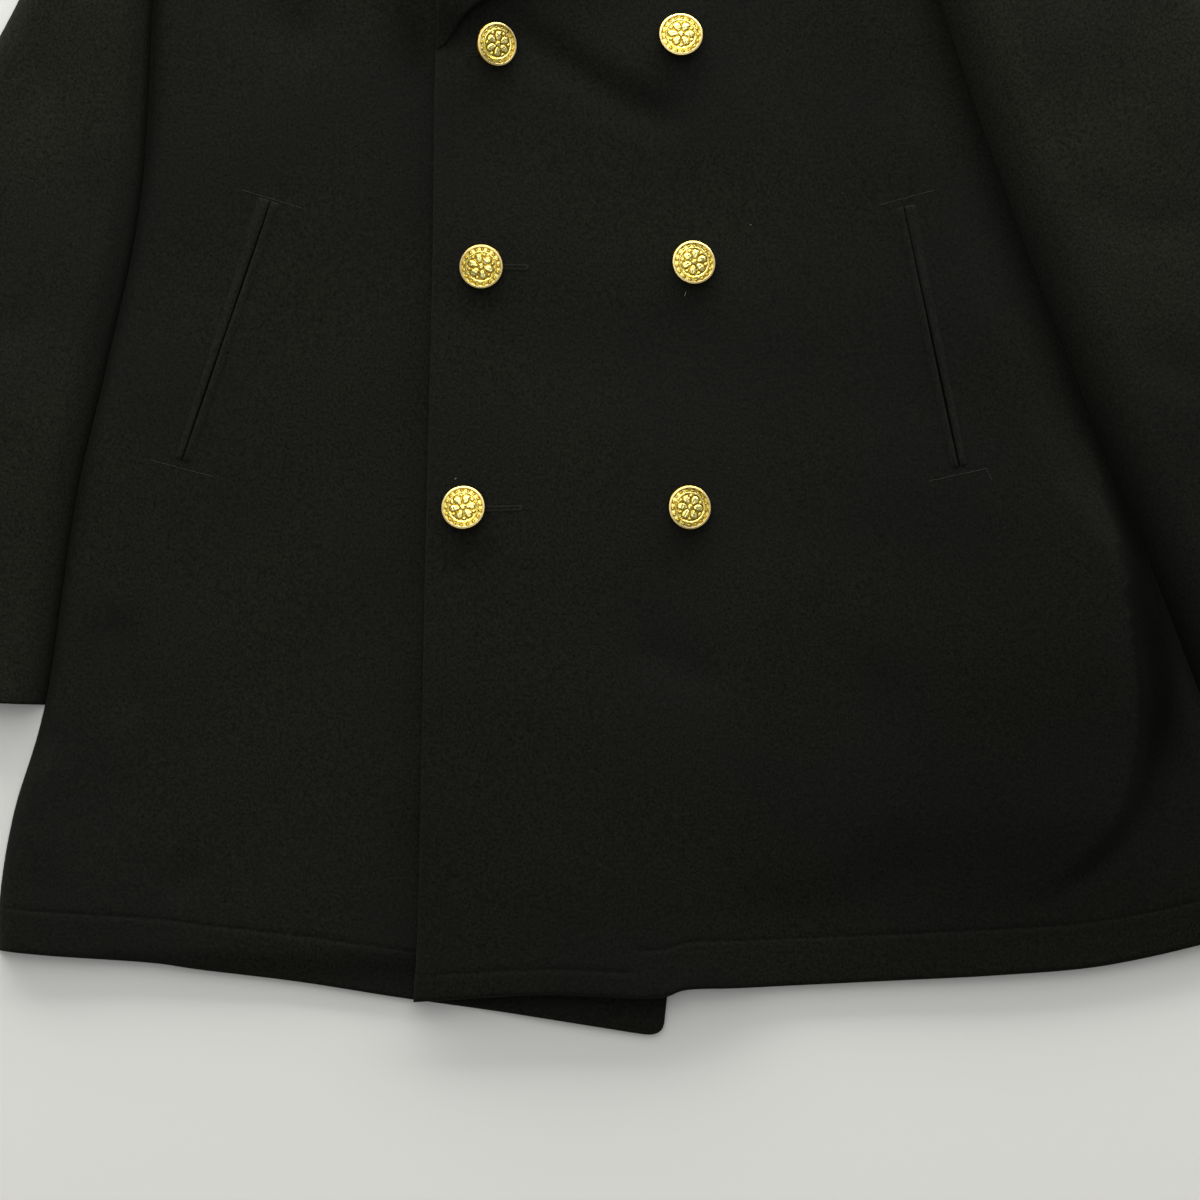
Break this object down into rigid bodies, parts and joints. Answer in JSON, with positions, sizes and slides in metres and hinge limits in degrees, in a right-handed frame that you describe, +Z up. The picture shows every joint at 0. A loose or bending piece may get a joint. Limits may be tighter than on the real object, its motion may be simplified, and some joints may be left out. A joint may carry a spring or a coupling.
{
  "type": "double-breasted pea coat laid flat",
  "caption": "Heavy wool double-breasted coat laid flat, front up, with domed brass buttons, slanted hand pockets, broad lapels, folded collar and open cuffs.",
  "frame": {"origin": "middle of the coat's outline in plan, on the surface that it lies on", "axes": "+X to the wearer's left, +Y from the hem to the collar, +Z up from the surface"},
  "size_m": [0.972, 0.8824, 0.0326],
  "materials": {
    "wool_cloth": "matt felted twill, near-black navy",
    "gilt_brass": "bright gilt, stamped relief"
  },
  "bodies": {
    "root": {"back": "wool_cloth", "front_right": "wool_cloth", "front_left": "wool_cloth", "lapel_right": "wool_cloth", "lapel_left": "wool_cloth", "collar": "wool_cloth", "sleeve_right_top": "wool_cloth", "sleeve_right_under": "wool_cloth", "sleeve_left_top": "wool_cloth", "sleeve_left_under": "wool_cloth", "pocket_right_jet_a": "wool_cloth", "pocket_right_jet_b": "wool_cloth", "pocket_left_jet_a": "wool_cloth", "pocket_left_jet_b": "wool_cloth", "button_1": "gilt_brass", "button_2": "gilt_brass", "button_3": "gilt_brass", "button_4": "gilt_brass", "button_5": "gilt_brass", "button_6": "gilt_brass"}
  },
  "joints": []
}
